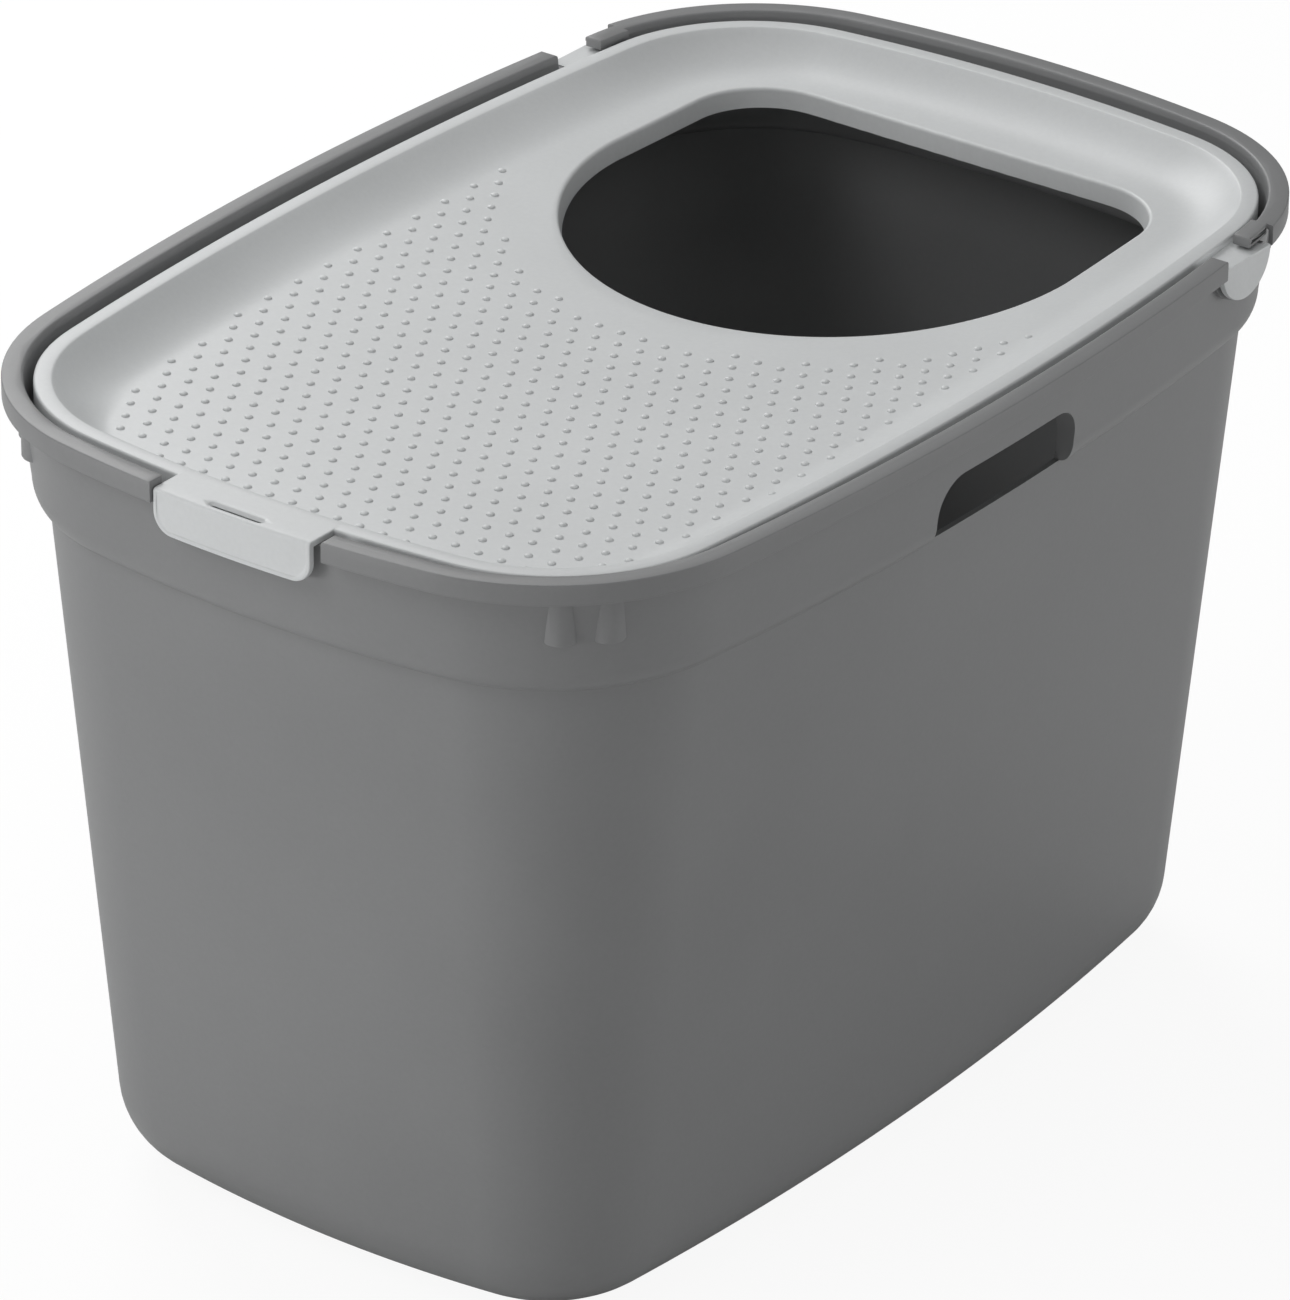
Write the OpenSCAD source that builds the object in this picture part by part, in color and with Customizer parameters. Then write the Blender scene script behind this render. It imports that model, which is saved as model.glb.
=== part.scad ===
// Top entry litter box: a deep tapered tub and a dished lid with a large entry hole.
// Units are millimetres. X is the width, Y the length (front at -Y), Z is up.
// The origin is the centre of the base, on the floor.
// Every horizontal section of the tub is the same rounded outline, moved inwards,
// so the whole wall is one list of [inset, height] pairs lofted around the outline.

/* [Overall size] */

// Length over the rim, front to back
rim_length = 580; // [560:2:600]
// Width over the rim, side to side
rim_width = 386.2; // [376:0.2:396]
// Height of the rim's top face above the floor
total_height = 375; // [345:1:405]

/* [Rim outline] */

// Radius of the slow bow along each long side
side_bow = 1650; // [1500:10:2000]
// Radius of the bow across each end
end_bow = 620; // [580:5:700]
// Radius of the four corners
corner_radius = 104; // [99:1:108]

/* [Tub wall and rim] */

// Wall thickness of the tub
tub_wall = 2.5; // [2:0.1:3]
// Width of the rim's flat top face
rim_face = 9.2; // [8.4:0.1:10]
// Height of the skirt that hangs from the rim's outer edge
skirt_drop = 9.5; // [7:0.5:10]
// Thickness of that skirt
skirt_wall = 2.2; // [1.8:0.1:2.6]
// Thickness of the rim's top plate
rim_plate = 2.2; // [1.8:0.1:2.6]
// Small rounding on the rim's two upper edges
rim_round = 1; // [0.6:0.1:1.4]
// Height of the straight collar, from the rim's top face
collar_drop = 45; // [42:0.5:48]
// Slope of the collar, in degrees from upright
collar_draft = 6.5; // [5:0.1:7.5]
// How far the wall steps in below the collar
step_in = 7; // [6:0.2:8]
// Height of that rounded step
step_drop = 11; // [10:0.5:12]
// Slope of the body below the step, in degrees from upright
body_draft = 4.75; // [4:0.05:5.5]
// Radius between the body and the base
base_round = 38; // [30:1:44]

/* [Handle openings] */

// Width of each handle opening
handle_width = 100; // [90:1:110]
// Height of each handle opening above the step's crease
handle_height = 30; // [26:0.5:32]
// Radius of its two upper corners
handle_corner = 16; // [12:0.5:20]
// Thickness of the return wall around the opening
handle_return = 2.4; // [2:0.1:3]

/* [Corner ribs] */

// Width of each rounded rib where its lower end meets the collar
rib_width = 13; // [9:0.5:14]
// Distance from the rim's top face to the lower end of a rib
rib_drop = 31.5; // [26:0.5:34]
// How far the crest of a rib lies inside the rim's outer edge
rib_inset = 6.5; // [6.2:0.1:7.4]
// Angle of the middle of each pair, from the long side
rib_angle = 44; // [38:1:52]
// Distance between the two ribs of a pair
rib_pitch = 21; // [18:0.5:24]

/* [Front notch] */

// Width of the gap in the front rim that takes the lid's tab
notch_width = 88.8; // [88:0.2:96]
// Sideways offset of that gap from the middle
notch_shift = 1.1; // [-2:0.1:2]
// Thickness of the small walls that close the rim's cut ends
end_wall = 2; // [1.6:0.1:2.4]

/* [Lid] */

// Gap between the rim's inner edge and the lid, at the long sides
lid_gap_side = 6.4; // [5.5:0.1:7]
// Gap between the rim's inner edge and the lid, at the ends
lid_gap_end = 7.8; // [6.5:0.1:8.5]
// Radius of the slow bow along the lid's long sides
lid_side_bow = 1860; // [1700:10:2100]
// Radius of the bow across the lid's ends
lid_end_bow = 740; // [680:5:800]
// Radius of the lid's corners
lid_corner = 83; // [79:0.5:90]
// Distance of the lid's lip below the rim's top face
lip_drop = 2.8; // [2:0.1:3.6]
// Width of the lid's flat lip
lip_width = 7.8; // [7:0.1:9]
// Small rounding on the lip's outer edge
lip_round = 1.2; // [0.8:0.1:1.6]
// Height of the lid's down-turned edge
lid_edge = 10; // [8:0.5:14]
// Wall thickness of the lid
lid_wall = 2.5; // [2:0.1:3]
// Width of the sloping band between the lip and the flat panel
dish_width = 34; // [28:0.5:40]
// Depth of the flat panel below the lip
dish_depth = 15.8; // [10:0.2:18]

/* [Entry hole] */

// Radius of the hole's round front half
hole_radius = 121.6; // [112:0.2:122]
// Distance of that circle's centre behind the middle of the box
hole_centre_y = 128.9; // [110:0.1:134]
// Distance of the hole's rear edge behind the middle of the box
hole_rear_y = 224; // [216:0.5:225]
// Radius of the hole's two rear corners
hole_corner = 38; // [28:0.5:40]
// How much narrower the hole is at its rear corners, each side
hole_taper = 2.7; // [0:0.1:4]
// Depth of the collar around the hole, below the flat panel
hole_collar = 9; // [7:0.5:14]
// Rounding on the hole's upper edge
hole_round = 3; // [2:0.1:3.4]
// Slope of that collar, in degrees from upright
hole_draft = 9; // [4:0.5:12]

/* [Lid tab] */

// Width of the tab at the front of the lid
tab_width = 82; // [76:0.5:84]
// Height of the tab's face
tab_drop = 19.5; // [16:0.5:24]
// Radius of the two lower corners of the tab's face
tab_corner = 9.5; // [7:0.5:12]
// How far the tab's face lies behind the rim's outer edge
tab_inset = 1.4; // [0.8:0.1:2]
// Gap between the tab's left side and the side of the notch
tab_side_gap = 0.4; // [0.3:0.05:3]
// Thickness of the tab's face
tab_wall = 2.5; // [2:0.1:3]
// Length of the slot in the tab's top plate
slot_length = 28.5; // [24:0.5:34]
// Width of that slot
slot_width = 2.2; // [1.6:0.1:2.8]
// Distance of the slot's middle line from the tab's outer face
slot_inset = 5.1; // [4.5:0.1:6]
// Sideways offset of the slot from the tab's middle
slot_shift = 0.2; // [-3:0.1:3]
// Height of the gap between the tab's plate and the tub
tab_gap = 0.4; // [0.3:0.05:0.8]

/* [Hinge] */

// Distance of the pivot behind the middle of the box
pivot_y = 178; // [176:0.5:180]
// Depth of the pivot below the rim's top face
pivot_drop = 6.5; // [6.3:0.1:7]
// Radius of the half-round journal on each side of the lid
journal_radius = 16; // [14:0.1:16.4]
// Radial running clearance between a journal and its half bore
journal_clearance = 0.08; // [0.05:0.01:0.1]
// Thickness of the ring around the half bore
boss_ring = 3.4; // [2.6:0.1:3.8]
// How far the face of that ring lies inside the rim's outer edge
boss_inset = 5.2; // [4.8:0.1:5.6]
// Radius of the flange at the outer end of each journal
flange_radius = 18.5; // [18:0.1:19]
// Thickness of that flange
flange_wall = 2.6; // [2.2:0.1:2.8]
// How far the flange's face lies inside the rim's outer edge
flange_inset = 0.8; // [0.5:0.1:1.1]
// Height of the lug's flat top above the pivot
lug_top = 0.4; // [0.2:0.1:0.6]
// Gap between the front of the rim's side notch and the flange
notch_clearance = 0.8; // [0.6:0.1:1.4]
// Height of the gap between a lug and the rear rim end above it
keeper_gap = 1.5; // [0.3:0.1:1.8]
// Distance of the rear rim end behind the pivot
keeper_start = 6; // [4:0.5:8]
// Length of the thick rear rim end
keeper_length = 17.5; // [15:0.5:20]
// How far the side of that rim end lies inside the rim's outer edge
keeper_inset = 3; // [2:0.1:3.4]
// How far that rim end reaches inwards past the rim's inner edge
keeper_reach = 2.5; // [1:0.1:3]
// Height of the slot in the side of that rim end
keeper_slot = 2.4; // [1.6:0.1:2.6]
// Depth of that slot
keeper_slot_depth = 4; // [3:0.5:5]

/* [Display] */

// Sub-part to show

/* [Hidden] */

$fn = 72;
TUB_GREY = [0.21, 0.215, 0.225];
LID_GREY = [0.56, 0.575, 0.58];
// Overlap where two solids of one moulding meet
LAP = 0.8;
// Overshoot of a cut beyond a face
OVER = 1;
// Place of the middle point of a small rounding, as a part of its radius
CHORD = 0.3;
// Straight pieces in each side arc, corner arc and end arc of a quarter outline
SIDE_STEPS = 4;
CORNER_STEPS = 10;
END_STEPS = 3;
QUARTER = SIDE_STEPS + CORNER_STEPS + END_STEPS;
RING = 4 * QUARTER;

rim_outline = [rim_width / 2, rim_length / 2, side_bow, end_bow, corner_radius];
lid_half_width = rim_width / 2 - rim_face - lid_gap_side;
lid_half_length = rim_length / 2 - rim_face - lid_gap_end;
lid_outline = [lid_half_width, lid_half_length, lid_side_bow, lid_end_bow, lid_corner];

// Insets and heights of the tub's wall
crease_z = total_height - collar_drop - step_drop;
collar_top_inset = rim_face - tub_wall;
collar_low_inset = collar_top_inset + (collar_drop - rim_plate) * tan(collar_draft);
collar_low_z = total_height - collar_drop;
crease_inset = collar_low_inset + step_in;
foot_inset = crease_inset + crease_z * tan(body_draft);
inner_round = base_round - tub_wall;
inner_step_drop = step_drop - tub_wall;
handle_top_z = crease_z + handle_height;

// Heights and radii of the lid
lip_z = total_height - lip_drop;
panel_z = lip_z - dish_depth;
foot_ring = lip_width + dish_width;
pivot_z = total_height - pivot_drop;
bore_radius = journal_radius + journal_clearance;
boss_radius = bore_radius + boss_ring;
lug_z = pivot_z + lug_top;
keeper_z = lug_z + keeper_gap;
keeper_y = pivot_y + keeper_start;
keeper_end_y = keeper_y + keeper_length;
notch_front_y = pivot_y - flange_radius - notch_clearance;
tab_plate_z = lip_z - lid_wall;
tab_seat_z = tab_plate_z - tab_gap;
notch_left = notch_shift - notch_width / 2;
notch_right = notch_shift + notch_width / 2;
tab_left = notch_left + tab_side_gap;
tab_middle = tab_left + tab_width / 2;

// Where an outline o = [half width, half length, side bow, end bow, corner] has its corner centre
function corner_centre(o) =
    let(sx = o[0] - o[2], ey = o[1] - o[3], p = o[2] - o[4], q = o[3] - o[4])
    let(d = norm([sx, ey]), t = (p * p - q * q + d * d) / (2 * d), h = sqrt(p * p - t * t))
    let(ux = -sx / d, uy = ey / d)
    [sx + ux * t - uy * h, uy * t + ux * h];

// A quarter of an outline, moved inwards by m, from the +X axis up to just before the +Y axis
function quarter(o, m) =
    let(c = corner_centre(o), sx = o[0] - o[2], ey = o[1] - o[3])
    let(a = atan2(c[1], c[0] - sx), b = atan2(c[1] - ey, c[0]))
    concat(
        [for (i = [0 : SIDE_STEPS - 1])
            let(t = a * i / SIDE_STEPS, r = o[2] - m) [sx + r * cos(t), r * sin(t)]],
        [for (i = [0 : CORNER_STEPS - 1])
            let(t = a + (b - a) * i / CORNER_STEPS, r = o[4] - m) c + r * [cos(t), sin(t)]],
        [for (i = [0 : END_STEPS - 1])
            let(t = b + (90 - b) * i / END_STEPS, r = o[3] - m) [r * cos(t), ey + r * sin(t)]]);

// The whole outline, moved inwards by m
function outline(o, m) =
    let(q = quarter(o, m), top = [0, o[1] - m], side = [o[0] - m, 0], n = QUARTER)
    concat(
        q,
        [top],
        [for (i = [n - 1 : -1 : 1]) [-q[i][0], q[i][1]]],
        [-side],
        [for (i = [1 : n - 1]) -q[i]],
        [-top],
        [for (i = [n - 1 : -1 : 1]) [q[i][0], -q[i][1]]]);

// The point where the outline, moved inwards by m, crosses a given y on the +X side
function side_x(o, m, y) = o[0] - o[2] + sqrt(pow(o[2] - m, 2) - y * y);

function loft_points(rings, p) = [for (i = [0 : len(rings) - 1]) for (v = rings[i]) [v[0], v[1], p[i][1]]];

// A closed solid through a list of rings, whose heights come from the [inset, height] pairs of p
module skin(rings, p) {
    n = len(rings[0]);
    last = (len(p) - 1) * n;
    sides = [for (i = [0 : len(p) - 2]) for (j = [0 : n - 1])
        [i * n + j, (i + 1) * n + j, (i + 1) * n + (j + 1) % n, i * n + (j + 1) % n]];
    caps = [[for (j = [0 : n - 1]) j], [for (j = [n - 1 : -1 : 0]) last + j]];
    polyhedron(points = loft_points(rings, p), faces = concat(sides, caps), convexity = 8);
}

// A solid whose sections are the outline o moved inwards as profile p says
module loft(o, p) {
    skin([for (v = p) outline(o, v[0])], p);
}

// A plain upright prism between two insets of an outline
module band(o, m0, m1, z0, z1) {
    translate([0, 0, z0])
        linear_extrude(height = z1 - z0, convexity = 8)
            difference() {
                polygon(outline(o, m0));
                polygon(outline(o, m1));
            }
}

// A box given by its low and high corners
module box(lo, hi) {
    translate(lo)
        cube(hi - lo);
}

// A flat shape drawn as [y, z], standing upright and extruded along X from x0 to x1
module along_x(x0, x1) {
    translate([x0, 0, 0])
        rotate([90, 0, 90])
            linear_extrude(height = x1 - x0, convexity = 6)
                children();
}

module both_sides() {
    children();
    mirror([1, 0, 0])
        children();
}

// Points on a quarter of an ellipse that leaves the wall upright and ends level
function step_points(m, z, dx, dz, n, flip) =
    [for (i = [0 : n])
        let(k = flip ? n - i : i, t = 90 * k / n) [m + dx * (1 - cos(t)), z - dz * sin(t)]];

// Points of the rounding between the base and a sloping wall of inset m at the floor
function foot_points(m, r, lift, n) =
    let(c = m - (lift + r) * tan(body_draft) + r / cos(body_draft))
    [for (i = [0 : n])
        let(t = 90 - (90 - body_draft) * i / n) [c - r * cos(t), lift + r - r * sin(t)]];

module tub_outside() {
    top = total_height;
    loft(rim_outline, concat(
        foot_points(foot_inset, base_round, 0, 7),
        step_points(collar_low_inset, collar_low_z, step_in, step_drop, 5, true),
        [[collar_top_inset, top - rim_plate],
         [skirt_wall, top - rim_plate],
         [skirt_wall, top - skirt_drop],
         [0, top - skirt_drop],
         [0, top - rim_round],
         [rim_round * CHORD, top - rim_round * CHORD],
         [rim_round, top]]));
}

module tub_inside() {
    top = total_height;
    floor_points = foot_points(foot_inset + tub_wall / cos(body_draft), inner_round, tub_wall, 7);
    loft(rim_outline, concat(
        floor_points,
        step_points(collar_low_inset + tub_wall, collar_low_z, step_in, inner_step_drop, 5, true),
        [[rim_face, top - rim_round],
         [rim_face - rim_round * CHORD, top - rim_round * CHORD],
         [rim_face - rim_round, top],
         [rim_face - rim_round, top + OVER]]));
}

// The handle opening as a flat shape, grown by g
module handle_shape(g) {
    half = handle_width / 2 + g;
    r = handle_corner + g;
    z1 = handle_top_z + g;
    polygon(concat(
        [[-half, crease_z], [half, crease_z]],
        [for (t = [0 : 15 : 90]) [half - r + r * cos(t), z1 - r + r * sin(t)]],
        [for (t = [90 : 15 : 180]) [-half + r + r * cos(t), z1 - r + r * sin(t)]]));
}

// One upright half-round rib, drawn at a front corner and turned about the corner's centre
module rib(angle) {
    c = corner_centre(rim_outline);
    foot_inset = collar_top_inset + (rib_drop - rim_plate) * tan(collar_draft);
    rise = foot_inset - rib_inset;
    r = (rib_width * rib_width / 4 + rise * rise) / (2 * rise);
    translate([c[0], c[1], total_height - rib_drop])
        rotate([0, 0, angle])
            translate([corner_radius - rib_inset - r, 0, 0])
                cylinder(r = r, h = rib_drop - rim_plate / 2);
}

module ribs() {
    turn = asin(rib_pitch / 2 / (corner_radius - rib_inset));
    for (sx = [0, 1])
        for (sy = [0, 1])
            mirror([sx, 0, 0])
                mirror([0, sy, 0])
                    for (k = [-1, 1])
                        rib(rib_angle + k * turn);
}

// The half-round ring that carries the lid's journal, on the right side
module bearing_ring() {
    x0 = side_x(rim_outline, collar_low_inset, pivot_y);
    x1 = side_x(rim_outline, boss_inset, pivot_y);
    along_x(x0, x1)
        intersection() {
            translate([pivot_y, pivot_z])
                circle(r = boss_radius);
            translate([pivot_y - boss_radius, pivot_z - boss_radius])
                square([2 * boss_radius, boss_radius]);
        }
}

// The thick rear rim end that keeps the lug down, and the wall that closes the rim in front of the lug
module rim_ends() {
    top = total_height;
    lug_side = side_x(rim_outline, rim_face, notch_front_y) - LAP - 2 * OVER;
    intersection() {
        band(rim_outline, keeper_inset / 2, rim_face + keeper_reach, keeper_z, top - rim_round * CHORD);
        box([lug_side - rim_face, keeper_y, keeper_z - OVER], [rim_width / 2, keeper_end_y, top]);
    }
    rim_end([lug_side, notch_front_y - end_wall, 0], [rim_width / 2, notch_front_y, top]);
}

// A wall that closes a cut end of the rim, inside the given box
module rim_end(lo, hi) {
    z0 = total_height - skirt_drop;
    z1 = total_height - rim_plate / 2;
    intersection() {
        band(rim_outline, skirt_wall / 2, collar_top_inset + tub_wall / 2, z0, z1);
        box(lo, hi);
    }
}

// The two walls that close the rim's cut ends at the front notch
module notch_ends() {
    y0 = -rim_length / 2;
    y1 = -rim_length / 4;
    rim_end([notch_right, y0, 0], [notch_right + end_wall, y1, total_height]);
    rim_end([notch_left - end_wall, y0, 0], [notch_left, y1, total_height]);
}

// What the lug passes through, on the right side
module side_notch() {
    top = total_height;
    x_in = side_x(rim_outline, collar_low_inset + tub_wall, pivot_y) - 4 * OVER;
    x_ring = side_x(rim_outline, boss_inset, pivot_y);
    x_out = rim_width / 2 + OVER;
    along_x(x_in, x_out)
        union() {
            intersection() {
                translate([pivot_y, pivot_z])
                    circle(r = bore_radius);
                translate([pivot_y - bore_radius, pivot_z - bore_radius])
                    square([2 * bore_radius, bore_radius + keeper_z - pivot_z]);
            }
            translate([notch_front_y, pivot_z])
                square([keeper_y - notch_front_y, top + OVER - pivot_z]);
        }
    along_x(x_ring, x_out)
        translate([notch_front_y, top - skirt_drop - OVER])
            square([keeper_end_y - notch_front_y, keeper_z - top + skirt_drop + OVER]);
}

// What sets the side of the rear rim end back, and the dark slot in that side
module keeper_recess() {
    x1 = side_x(rim_outline, keeper_inset, keeper_y);
    x0 = x1 - keeper_slot_depth;
    z0 = (keeper_z + total_height - keeper_slot) / 2;
    intersection() {
        band(rim_outline, -OVER, keeper_inset, total_height - skirt_drop - OVER, total_height + OVER);
        box([x0, keeper_y - OVER, 0], [rim_width / 2 + OVER, keeper_end_y, total_height + OVER]);
    }
    box([x0, keeper_y + end_wall, z0], [x1 + 2 * OVER, keeper_end_y - OVER, z0 + keeper_slot]);
}

// The gap in the front rim for the lid's tab
module front_notch() {
    y0 = -rim_length / 2 - OVER;
    skirt_back = -rim_length / 2 + collar_top_inset - OVER / 2;
    wall_back = -rim_length / 2 + rim_face + 4 * OVER;
    box([notch_left, y0, tab_seat_z], [notch_right, wall_back, total_height + OVER]);
    box([notch_left, y0, total_height - skirt_drop - OVER], [notch_right, skirt_back, total_height]);
}

module tub() {
    color(TUB_GREY)
        difference() {
            union() {
                difference() {
                    union() {
                        tub_outside();
                        ribs();
                        both_sides()
                            bearing_ring();
                    }
                    difference() {
                        tub_inside();
                        both_sides()
                            along_x(rim_width / 2 - crease_inset - tub_wall, rim_width / 2)
                                handle_shape(handle_return);
                    }
                }
                both_sides()
                    rim_ends();
                notch_ends();
            }
            both_sides() {
                along_x(rim_width / 2 - crease_inset - 4 * tub_wall, rim_width / 2)
                    handle_shape(0);
                side_notch();
                keeper_recess();
            }
            front_notch();
        }
}

// Points of the dished band, n pieces from the flat panel up to the lip, lowered by drop
function dish_points(drop, n) =
    [for (i = [0 : n]) let(s = i / n) [foot_ring - dish_width * s, panel_z - drop + dish_depth * s * s]];

module lid_shell() {
    under = dish_points(lid_wall, 6);
    over = dish_points(0, 6);
    edge_z = lip_z - lid_edge;
    loft(lid_outline, concat(
        under,
        [[lid_wall, lip_z - lid_wall],
         [lid_wall, edge_z],
         [0, edge_z],
         [0, lip_z - lip_round],
         [lip_round * CHORD, lip_z - lip_round * CHORD],
         [lip_round, lip_z]],
        [for (i = [len(over) - 1 : -1 : 0]) over[i]]));
}

// The entry hole's outline, moved inwards by m, as a list of points
function hole_points(m) =
    let(r = hole_radius - m, rc = hole_corner - m, cx = hole_radius - hole_taper - hole_corner)
    let(cy = hole_rear_y - hole_corner)
    concat(
        [for (i = [0 : 24]) let(t = 180 + 180 * i / 24) [r * cos(t), hole_centre_y + r * sin(t)]],
        [for (i = [0 : 8]) let(t = 90 * i / 8) [cx + rc * cos(t), cy + rc * sin(t)]],
        [for (i = [0 : 8]) let(t = 90 + 90 * i / 8) [-cx + rc * cos(t), cy + rc * sin(t)]]);

// The block that the hole's collar is cut from, below the panel
module hole_block() {
    translate([0, 0, panel_z - hole_collar])
        linear_extrude(height = hole_collar - lid_wall / 2)
            polygon(hole_points(-lid_wall));
}

// The space of the hole, with its slope below and its rounding at the panel
module hole_space() {
    low = panel_z - hole_collar - OVER;
    r = hole_round;
    slope = (hole_collar + OVER - r) * tan(hole_draft);
    p = concat(
        [[slope, low]],
        [for (t = [0 : 30 : 90]) [-r + r * cos(t), panel_z - r + r * sin(t)]],
        [[-r, panel_z + OVER]]);
    skin([for (v = p) hole_points(v[0])], p);
}

// A disc about the pivot cut flat at height z, drawn as [y, z]
module cut_disc(r, z) {
    intersection() {
        translate([pivot_y, pivot_z])
            circle(r = r);
        translate([pivot_y - r, pivot_z - r])
            square([2 * r, z - pivot_z + r]);
    }
}

// The lug on the lid's right side: a hollow half-round journal and a half-disc flange
module lug() {
    x_lid = side_x(lid_outline, lid_wall - LAP, pivot_y + journal_radius);
    x_face = side_x(rim_outline, flange_inset, pivot_y);
    along_x(x_lid, x_face - flange_wall / 2)
        difference() {
            cut_disc(journal_radius, lug_z);
            cut_disc(journal_radius - lid_wall, lug_z - lid_wall);
        }
    along_x(x_face - flange_wall, x_face)
        cut_disc(flange_radius, lug_z);
}

// The tab's face as an upright flat shape in X and Z, with its two lower corners rounded
module tab_shape() {
    low = lip_z - tab_drop;
    left = tab_left + tab_corner;
    right = tab_left + tab_width - tab_corner;
    polygon(concat(
        [for (t = [180 : 15 : 270]) [left + tab_corner * cos(t), low + tab_corner + tab_corner * sin(t)]],
        [for (t = [270 : 15 : 360]) [right + tab_corner * cos(t), low + tab_corner + tab_corner * sin(t)]],
        [[tab_left + tab_width, lip_z], [tab_left, lip_z]]));
}

module tab() {
    front = -rim_length / 2;
    back = -lid_half_length + lid_wall;
    reach = tab_inset + tab_wall + 4 * OVER;
    slot_y = front + tab_inset + slot_inset;
    intersection() {
        band(rim_outline, tab_inset, tab_inset + tab_wall, lip_z - tab_drop - OVER, lip_z);
        translate([0, front + reach, 0])
            rotate([90, 0, 0])
                linear_extrude(height = reach + OVER)
                    tab_shape();
    }
    difference() {
        intersection() {
            translate([0, 0, tab_plate_z])
                linear_extrude(height = lid_wall)
                    polygon(outline(rim_outline, tab_inset + tab_wall / 2));
            box([tab_left, front, tab_plate_z - OVER], [tab_left + tab_width, back, lip_z + OVER]);
        }
        translate([tab_middle + slot_shift, slot_y, tab_plate_z + lid_wall / 2])
            cube([slot_length, slot_width, lid_wall + 2 * OVER], center = true);
    }
}

module lid() {
    color(LID_GREY)
        union() {
            difference() {
                union() {
                    lid_shell();
                    hole_block();
                }
                hole_space();
            }
            tab();
            both_sides()
                lug();
        }
}

tub();
lid();
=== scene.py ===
# %% [markdown]
# # A top entry litter box
# The real box is two plastic mouldings: a deep tapered tub, and a dished lid with a big hole that
# swings on two lugs. Both have thin walls whose every level section is the same rounded outline.
# So the lesson draws that outline once and lofts it, rather than pushing a subdivided cube about.

# %% Load the fixed frame
import math

import bmesh
import bpy
import numpy as np
from mathutils import Matrix, Vector


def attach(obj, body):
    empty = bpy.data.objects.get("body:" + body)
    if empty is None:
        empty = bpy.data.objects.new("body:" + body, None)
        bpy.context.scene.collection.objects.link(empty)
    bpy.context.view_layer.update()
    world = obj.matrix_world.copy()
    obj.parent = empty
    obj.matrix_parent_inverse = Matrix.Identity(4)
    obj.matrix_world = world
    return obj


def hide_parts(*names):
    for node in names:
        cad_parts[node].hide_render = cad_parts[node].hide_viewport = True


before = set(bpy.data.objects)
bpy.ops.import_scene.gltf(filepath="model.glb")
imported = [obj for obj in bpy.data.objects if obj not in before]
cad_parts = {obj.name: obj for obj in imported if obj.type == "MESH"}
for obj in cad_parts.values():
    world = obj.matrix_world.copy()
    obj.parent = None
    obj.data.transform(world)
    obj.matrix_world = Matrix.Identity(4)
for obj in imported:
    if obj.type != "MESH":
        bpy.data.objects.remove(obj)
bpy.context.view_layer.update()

# %% [markdown]
# ## The camera
# The photograph was taken with a long lens from the front right, a little above the rim. The place
# and angles below came from matching the rim, the lid's edge and the base to the picture. A long
# lens flattens perspective: the sides look almost parallel.

# %% Camera
MM = 0.001
CAMERA_PLACE = (1966.97, -2657.49, 1906.01)
CAMERA_YAW = 0.63875
CAMERA_PITCH = 0.47782
CAMERA_ROLL = 0.008814
FOCAL_PIXELS = 8528.38
IMAGE_WIDTH = 1290
SENSOR_WIDTH = 36.0


def aim_camera():
    """A camera at the photograph's place, with its lens worked out from the focal length in pixels."""
    yaw, pitch, roll = CAMERA_YAW, CAMERA_PITCH, CAMERA_ROLL
    ahead = Vector((-math.sin(yaw) * math.cos(pitch), math.cos(yaw) * math.cos(pitch), -math.sin(pitch)))
    right = Vector((math.cos(yaw), math.sin(yaw), 0))
    up = right.cross(ahead)
    right, up = (math.cos(roll) * right + math.sin(roll) * up, -math.sin(roll) * right + math.cos(roll) * up)
    data = bpy.data.cameras.new("camera")
    data.sensor_fit = "HORIZONTAL"
    data.sensor_width = SENSOR_WIDTH
    data.lens = FOCAL_PIXELS / IMAGE_WIDTH * SENSOR_WIDTH
    data.clip_end = 50
    camera = bpy.data.objects.new("camera", data)
    turn = Matrix((right, up, -ahead)).transposed().to_4x4()
    camera.matrix_world = Matrix.Translation(Vector(CAMERA_PLACE) * MM) @ turn
    bpy.context.collection.objects.link(camera)
    bpy.context.scene.camera = camera
    return camera


camera = aim_camera()
print("lens", round(camera.data.lens, 1), "mm")

# %% [markdown]
# ## The outline
# Seen from above, the rim is made of tangent arcs: a slow bow along each side and each end, and four
# tight corners. Moving such an outline inwards only shortens the radii, so its points stay in step
# from ring to ring and the faces between two rings are flat. That is why arcs are better here than
# one spline.

# %% Outlines
RIM = {"half_width": 193.1, "half_length": 290.0, "side_bow": 1650.0, "end_bow": 620.0, "corner": 104.0}
LID = {"half_width": 177.5, "half_length": 273.0, "side_bow": 1860.0, "end_bow": 740.0, "corner": 83.0}
SIDE_STEPS, CORNER_STEPS, END_STEPS = 20, 28, 10


def corner_centre(o):
    """Where the corner arc that touches both bows has its centre."""
    side = np.array([o["half_width"] - o["side_bow"], 0.0])
    end = np.array([0.0, o["half_length"] - o["end_bow"]])
    to_side, to_end = o["side_bow"] - o["corner"], o["end_bow"] - o["corner"]
    across = end - side
    apart = np.hypot(*across)
    along = (to_side ** 2 - to_end ** 2 + apart ** 2) / (2 * apart)
    off = math.sqrt(to_side ** 2 - along ** 2)
    unit = across / apart
    return side + unit * along + off * np.array([-unit[1], unit[0]])


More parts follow.
